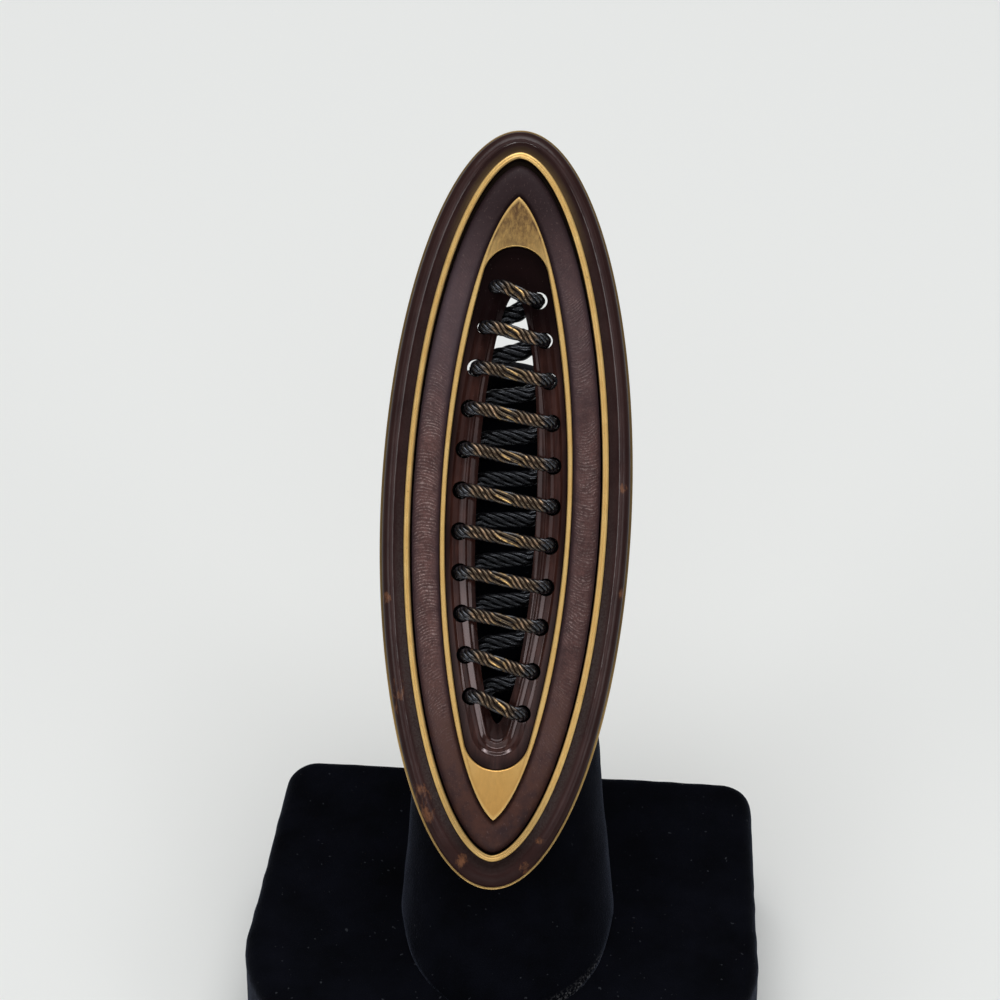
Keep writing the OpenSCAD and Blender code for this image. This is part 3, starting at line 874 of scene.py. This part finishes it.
def build_tray(material):
    """A shallow tray with a rail round its slot, and a hole for each pass of the cord."""
    turn = ring_turns()
    a = OPEN_A - GAP
    b = OPEN_B - GAP
    r = OPEN_R - GAP
    groove = RAIL_TOP - 0.5
    # Outline, height and softness of each corner of the section
    table = [
        [oval(a, b, r, turn), SEAT, 0.02],
        [oval(a, b, r, turn), groove + 0.05, 0.03],
        [oval(a - 1.35, b - 0.45, r - 0.6, turn), groove, 0.1],
        [oval(a - 1.75, b - 0.7, 2.1, turn), groove + 0.16, 0.07],
        [oval(a - 2.1, b - 1.2, 1.7, turn), RAIL_TOP - 0.32, 0.15],
        [oval(a - 2.4, b - 1.65, 1.4, turn), RAIL_TOP - 0.17, 0.15],
        [oval(a - 2.65, b - 2.0, 1.1, turn), RAIL_TOP, 0.07],
        [oval(a - 2.8, b - 2.15, 1.0, turn), RAIL_TOP - 0.15, 0.05],
        [oval(a - 3.0, b - 2.5, 0.9, turn), RAIL_TOP - 0.25, 0.1],
        [pointed(SLOT_A, SLOT_B, SLOT_P, turn), RAIL_TOP - 0.45, 0.08],
        [pointed(SLOT_A, SLOT_B, SLOT_P, turn), TRAY_BOTTOM, 0.1],
        [oval(a - 0.5, b - 0.4, r - 0.4, turn), TRAY_BOTTOM, 0.1],
        [oval(a - 0.3, b - 0.1, r - 0.2, turn), SEAT, 0.02],
    ]
    rows = soften([level(outline, z) for outline, z, _ in table], [row[2] for row in table], 4)
    # The rail sinks into the tray towards its top end.
    fade = 0.85 * np.clip((rows[..., 1] - 17) / 5, 0, 1)
    rows[..., 2] -= np.maximum(rows[..., 2] - groove, 0) * fade
    tray = band("dark_tray", rows, material, "dark_resin", replaces=["laced_tray"])
    cut_holes(tray)
    x, y, _ = read_place(tray).T
    # The top end, the lower end inside the rail and the groove along the edge are dark.
    end = np.clip((y - 13) / 6, 0, 1)
    rail_x = oval_x(OPEN_A - 2.85, OPEN_B - 2.2, 1.0, y)
    recess = (rail_x > np.abs(x)) * np.clip(-19 - y, 0, 0.6)
    groove_shade = 0.75 * np.clip((0.55 - edge_x(y) + np.abs(x)) / 0.3, 0, 1)
    float_attribute(tray, "shade", np.maximum(np.maximum(end, recess), groove_shade))
    # It mirrors the lamps less in its upper half and at its lower end.
    upper = np.clip((y + 11) / 6, 0, 1)
    float_attribute(tray, "mute", np.maximum(upper, 0.5 * np.clip(-22.8 - y, 0, 1)))


def cut_holes(tray):
    """Cuts the holes with pins that widen a little at the rail's top."""
    # Height, and how much wider the pin is there
    profile = [[0.5, 0], [2.5, 0], [2.6, 0.02], [2.7, 0.05], [5.0, 0.05]]
    sides = 48
    spin = ring_turns(sides)
    circle = np.stack([np.cos(spin), np.sin(spin)], -1)
    points = []
    faces = []
    centres = [(HOLE_IN - edge_x(left_y(k)), left_y(k)) for k in range(TURNS)]
    centres += [(edge_x(right_y(k)) - HOLE_IN, right_y(k)) for k in range(TURNS)]
    for centre, r in zip(centres, LEFT_HOLES + RIGHT_HOLES):
        faces += capped_faces(len(profile), sides, start=len(points) * sides)
        for z, more in profile:
            points.append(level(centre + (r + more) * circle, z))
    mesh = bpy.data.meshes.new("pins")
    mesh.from_pydata(on_head(np.vstack(points)).tolist(), [], faces)
    pins = bpy.data.objects.new("pins", mesh)
    bpy.context.scene.collection.objects.link(pins)
    cut = tray.modifiers.new("holes", "BOOLEAN")
    cut.operation = "DIFFERENCE"
    cut.solver = "EXACT"
    cut.object = pins
    apply_modifiers(tray)
    bpy.data.objects.remove(pins)
    place_again(tray)
    tray.data.shade_smooth()
    tray.data.set_sharp_from_angle(angle=math.radians(35))


def apply_modifiers(obj):
    graph = bpy.context.evaluated_depsgraph_get()
    mesh = bpy.data.meshes.new_from_object(obj.evaluated_get(graph))
    obj.modifiers.clear()
    obj.data = mesh


def read_place(obj):
    """The points of a piece of the head, in its own coordinates."""
    mesh = obj.data
    co = np.empty(len(mesh.vertices) * 3)
    mesh.vertices.foreach_get("co", co)
    return (co.reshape(-1, 3) - ORIGIN) @ np.stack([RIGHT, ALONG, OUT]).T / MM


def place_again(obj):
    """Writes the head's coordinates again after a cut has added points."""
    spots = obj.data.attributes["place"]
    spots.data.foreach_set("vector", read_place(obj).astype(np.float32).ravel())


# The cord goes up through a left hole, across the front, down through the right hole of
# that row and back behind to the next left hole. It leaves a hole at a slant behind.
BACK_SHIFT = 1.25
BACK_REACH = 1.9
# How far each pass behind is raised at its right end, from the top down
BACK_LIFT = [0.1, 0.3] + [0.0] * 9


def hole_points(x, y, way, lift=0.0):
    """The cord from behind the tray up through a hole. way leads to the middle."""
    return [
        [x + way * BACK_REACH, y + way * BACK_SHIFT + lift, CORD_BACK],
        [x + way * CORD_R, y, CORD_BACK],
        [x, y, CORD_BACK + CORD_R],
        [x, y, CORD_FRONT - CORD_R],
        [x + way * CORD_R, y, CORD_FRONT],
    ]


def cord_route():
    route = []
    for k in range(TURNS):
        left_x = CORD_IN - edge_x(left_y(k))
        right_x = edge_x(right_y(k)) - CORD_IN
        route += hole_points(left_x, left_y(k), 1)
        route += hole_points(right_x, right_y(k), -1, BACK_LIFT[k])[::-1]
    # The cord starts with a short end beside the first hole.
    tail = [route[2][0] - 0.5, route[2][1] + 0.8, CORD_BACK]
    return np.array([tail] + route[2:-1])


def evenly(path, spacing):
    run = run_along(path)
    return points_at(np.linspace(0, run[-1], int(run[-1] / spacing)), run, path)


def smooth_path(route, spacing, smooth):
    """Points at even distances along a route whose corners are smoothed."""
    fine = 0.05
    path = evenly(route, fine)
    reach = int(3 * smooth / fine)
    weight = np.exp(-0.5 * (np.arange(-reach, reach + 1) * fine / smooth) ** 2)
    weight /= weight.sum()
    padded = np.pad(path, ((reach, reach), (0, 0)), mode="edge")
    path = np.stack([np.convolve(column, weight, "valid") for column in padded.T], -1)
    return evenly(path, spacing)


def unit(vectors):
    return vectors / np.linalg.norm(vectors, axis=1, keepdims=True)


def square_to(path, wanted):
    """For each point of a path, the direction nearest to the wanted one that is square to
    the path, and the direction square to both."""
    ahead = unit(np.gradient(path, axis=0))
    first = unit(wanted - ahead * (wanted * ahead).sum(1)[:, None])
    return first, np.cross(ahead, first)


# Braid: the strands wind steeply at both sides of each row and lie flatter in its middle.
STRANDS = 6
STRAND_MIDDLE = 0.50
STRAND_R = 0.205
STEEP_RATE = 1.8
FLAT_RATE = 0.45
BACK_RATE = 0.9
# How much bronze and painted highlight each strand shows
STRAND_BRONZE_GLINT = [1.0, 0.25, 0.75, 0.5, 1.0, 0.3]
CORE_R = 0.36
YARN_SIDES = 10
YARN_STEP = 0.19


def build_lacing(material):
    """One braided cord in 11 turns, with a dark core inside."""
    path = smooth_path(cord_route(), YARN_STEP, 0.22)
    x, y, z = path.T
    side, up = square_to(path, np.tile([0.0, 1.0, 0.0], (len(path), 1)))

    # flat is 1 in the middle of each row and 0 at its ends, front is 0 behind the tray.
    half_row = edge_x(y) - CORD_IN
    shifted = (x + half_row) / (2 * half_row) - 0.51 + 0.05 * np.sin(2.3 * y)
    flat = np.clip((0.18 - np.abs(shifted)) / 0.12, 0, 1)
    rate = STEEP_RATE + (FLAT_RATE - STEEP_RATE) * flat * flat * (3 - 2 * flat)
    front = np.clip(z - CORD_BACK - 0.5, 0, 1)
    rate = BACK_RATE + (rate - BACK_RATE) * front
    turn = np.cumsum(rate) * YARN_STEP
    # Behind the tray the cord is loose and thicker, most of all at the top.
    grow = 1 + (1 - front) * np.where(y > 13.5, 0.36, 0.17)
    for half, name in enumerate(("dark_strands", "bronze_strands")):
        tubes = []
        for m in range(half, STRANDS, 2):
            at = turn + m * 2 * np.pi / STRANDS
            radial = side * np.cos(at)[:, None] + up * np.sin(at)[:, None]
            middle = path + radial * (STRAND_MIDDLE * grow)[:, None]
            tubes.append(tube(middle, radial, STRAND_R * grow))
        points = np.vstack(tubes)
        obj = cord_piece(name, points, len(path), material)
        outward = np.tile(np.cos(ring_turns(YARN_SIDES)), len(path) * len(tubes))
        weight = np.repeat(STRAND_BRONZE_GLINT[half::2], YARN_SIDES * len(path))
        # Painted shade behind and at the bends, painted highlights along each strand's crests,
        # golden in each row's middle
        float_attribute(obj, "front_rub_and_shade", front_rub_and_shade(points))
        float_attribute(obj, "crest_highlight", np.clip((outward - 0.80) / 0.19, 0, 1) * weight)
        float_attribute(obj, "middle_glint_gold", np.tile(np.repeat(flat * front, YARN_SIDES), len(tubes)))
    cord_piece("cord_core", tube(path, side, CORE_R * grow), len(path), material)


def cord_piece(name, points, rings, material):
    """A piece made of tubes that have the given number of rings each."""
    faces = []
    for start in range(0, len(points), rings * YARN_SIDES):
        faces += capped_faces(rings, YARN_SIDES, start)
    return piece(name, points, faces, material, "braided_cord", sharp=0, replaces=["lacing"])


def front_rub_and_shade(points):
    """Bronze shows on the outside of what lies in front; behind and where it bends back,
    painted shade keeps it black.
    """
    x, y, z = points.T
    front = np.clip((z - CORD_FRONT - 0.15) / 0.35, 0, 1)
    return front * np.clip((edge_x(y) - np.abs(x) - 2.0) / 0.6, 0, 1)


def tube(path, outward, radius):
    """The points of a tube along a path. Each ring's first point lies outward."""
    first, second = square_to(path, outward)
    spin = ring_turns(YARN_SIDES)[:, None]
    around = first[:, None] * np.cos(spin) + second[:, None] * np.sin(spin)
    return (path[:, None] + radius[:, None, None] * around).reshape(-1, 3)


# Stand
BASE_RING = 360
FINGER_RING = 160
# Radius of the base's upper edge
EDGE_R = 1.3


def base_outline(inset):
    """The base's outline from above, drawn in by the inset."""
    # Side, way, half width, corner radius and the angle that the corner starts at
    corners = [
        [1, 1, BASE_BACK, CORNER_BACK, 90],
        [1, -1, BASE_FRONT, CORNER_FRONT, 0],
        [-1, -1, BASE_FRONT, CORNER_FRONT, -90],
        [-1, 1, BASE_BACK, CORNER_BACK, -180],
    ]
    out = []
    for side, way, half_w, r, start in corners:
        centre = np.array([side * (half_w - r), way * (BASE_DEPTH - r)])
        a = np.radians(np.linspace(start, start - 90, 13))
        out.append(centre + (r - inset) * np.stack([np.cos(a), np.sin(a)], -1))
    closed = np.vstack(out + [out[0][:1]])
    run = run_along(closed)
    return points_at(np.linspace(0, run[-1], BASE_RING, endpoint=False), run, closed)


def build_base(material):
    """A velvet block with soft edges."""
    # Inset and height of each row up the side, then the top in ever smaller outlines
    side = [(0.5, 0), (0.15, 0.1), (0.0, 0.5)]
    side += [(0.0, z) for z in np.linspace(1.2, BASE_H - EDGE_R, 16)]
    for t in np.linspace(0, np.pi / 2, 9)[1:]:
        side.append((EDGE_R * (1 - math.cos(t)), BASE_H - EDGE_R + EDGE_R * math.sin(t)))
    rows = [level(base_outline(inset), z) for inset, z in side]
    rim = base_outline(EDGE_R)
    rows += [level(rim * scale, BASE_H) for scale in np.linspace(1, 0.02, 34)[1:]]
    rows = np.array(rows)
    normals = grid_normals(rows)
    lump = 0.10 * bumps(rows, 6.0, 21) + 0.05 * bumps(rows, 1.6, 22) - 0.12
    lump = lump * np.clip(rows[..., 2] / 1.5, 0, 1)
    rows = rows + normals * lump[..., None]
    faces = capped_faces(len(rows), BASE_RING)
    piece("velvet_base", rows, faces, material, "velvet", place=on_stand, sharp=0,
          replaces=["stand_base"])


def finger_radius(s):
    """The finger's radius at a distance up its axis. Its end is a dome."""
    top = FINGER[-1, 0]
    part = np.clip((s - top) / (FINGER_END - top), 0, 1)
    return np.interp(s, *FINGER.T) * np.sqrt(1 - part**2)


def build_finger(material):
    """A leaning, tapering velvet finger with a round end and a seam up its back."""
    tilt = math.radians(FINGER_LEAN)
    axis_up = turned(0, math.cos(tilt), math.sin(tilt))
    front = turned(0, -math.sin(tilt), math.cos(tilt))
    foot = np.array([FOOT_X, FOOT_Y, BASE_H])
    spin = -ring_turns(FINGER_RING)
    round_x = np.cos(spin)
    round_f = np.sin(spin)
    # Where each line up the finger's side leaves the base
    start = np.zeros(FINGER_RING)
    for _ in range(30):
        rise = GAP - finger_radius(start) * round_f * front[2]
        start = rise / axis_up[2]
    side_shares = np.linspace(0, 0.9, 70)
    end_shares = 1 - 0.1 * np.linspace(1, 0.02, 26)[1:] ** 1.6
    shares = np.concatenate([side_shares, end_shares])
    rows = []
    for share in shares:
        s = start + (FINGER_END - start) * share
        r = finger_radius(s)
        rows.append(foot + np.outer(s, axis_up) + np.outer(r * round_x, SIDE)
                    + np.outer(r * round_f, front))
    rows = np.array(rows)
    normals = grid_normals(rows)
    lump = 0.10 * bumps(rows, 5.0, 31) + 0.04 * bumps(rows, 1.5, 32) - 0.1
    # The seam is a groove at the finger's back, and the hem is drawn in at its foot.
    from_seam = 9 * np.abs(np.angle(np.exp(1j * (spin - math.radians(270)))))
    seam = -0.22 * np.exp(-((from_seam / 0.35) ** 2))
    hem = -0.35 * np.clip(1 - shares * 40, 0, 1)[:, None]
    rows = rows + normals * (lump + seam + hem)[..., None]
    rows[..., 2] = np.maximum(rows[..., 2], BASE_H + GAP)
    faces = capped_faces(len(rows), FINGER_RING)
    obj = piece("velvet_finger", rows, faces, material, "velvet", place=on_stand, sharp=0,
                replaces=["stand_finger"])
    # Dust lies round the right of the finger's foot.
    x, y, z = np.moveaxis(rows, -1, 0)
    low = np.clip(1 - (z - BASE_H) / 1.1, 0, 1)
    float_attribute(obj, "dust_and_painted_reflection", low * (y < -6) * np.clip((x - 4) / 3, 0, 1))


# Stage
def build_floor():
    size = 3.0
    mesh = bpy.data.meshes.new("floor")
    corners = [(-size, -size, 0), (size, -size, 0), (size, size, 0), (-size, size, 0)]
    mesh.from_pydata(corners, [], [[0, 1, 2, 3]])
    mesh.materials.append(floor_material())
    floor = bpy.data.objects.new("floor", mesh)
    bpy.context.scene.collection.objects.link(floor)


def area_light(name, place, size, power):
    """A lamp aimed at the middle of the ring's head."""
    middle = Vector((0, 0.02, 0.05))
    data = bpy.data.lights.new(name, "AREA")
    data.shape = "RECTANGLE"
    data.size, data.size_y = size
    data.energy = power
    light = bpy.data.objects.new(name, data)
    light.location = place
    light.rotation_euler = (middle - Vector(place)).to_track_quat("-Z", "Y").to_euler()
    bpy.context.scene.collection.objects.link(light)


def build_lights():
    """A lamp overhead, a low strip and a soft panel in front, and two panels beside it."""
    world = bpy.data.worlds.new("studio")
    world.use_nodes = True
    background = world.node_tree.nodes["Background"]
    background.inputs["Color"].default_value = (1.0, 1.0, 1.0, 1)
    background.inputs["Strength"].default_value = 0.13
    bpy.context.scene.world = world
    area_light("lamp", (0.0, 0.20, 0.95), (1.0, 0.8), 8.5)
    area_light("key_panel", (0.07, -0.66, 0.74), (0.6, 0.5), 0.35)
    area_light("front_strip", (0.04, -0.95, 0.16), (0.8, 0.05), 2.2)
    area_light("left_panel", (-0.62, -0.52, 0.42), (0.24, 0.4), 0.8)
    area_light("right_panel", (0.62, -0.50, 0.42), (0.20, 0.4), 0.5)


def build_camera():
    data = bpy.data.cameras.new("camera")
    data.sensor_width = SENSOR
    data.lens = FOCAL_PX * SENSOR / IMAGE_PX
    data.clip_start = 0.01
    camera = bpy.data.objects.new("camera", data)
    bpy.context.scene.collection.objects.link(camera)
    bpy.context.scene.camera = camera
    pitch = math.radians(VIEW_PITCH)
    turn = math.radians(VIEW_TURN)
    level_out = Vector((math.sin(turn), -math.cos(turn), 0))
    back = level_out * math.cos(pitch) + Vector((0, 0, math.sin(pitch)))
    roll = Matrix.Rotation(math.radians(VIEW_ROLL), 3, "Z")
    look = (-back).to_track_quat("-Z", "Y").to_matrix() @ roll
    target = Vector(on_head(np.array([0.0, 0.0, 2.0])))
    # The camera is shifted so that the head's middle comes to its pixel.
    pixel = VIEW_DISTANCE / FOCAL_PX * MM
    offset = Vector((IMAGE_PX / 2 - HEAD_PX[0], HEAD_PX[1] - IMAGE_PX / 2, 0)) * pixel
    camera.location = target + back * VIEW_DISTANCE * MM + look @ offset
    camera.rotation_euler = look.to_euler()


bpy.context.scene.view_settings.view_transform = "Standard"
build_camera()
build_lights()
build_floor()

brass = brass_material()
velvet = velvet_material()
build_brass_base(brass)
build_frame(lacquer_material())
build_rim(brass)
build_lens(brass)
build_leather(leather_material())
build_tray(tray_material())
build_lacing(cord_material())
build_base(velvet)
build_finger(velvet)
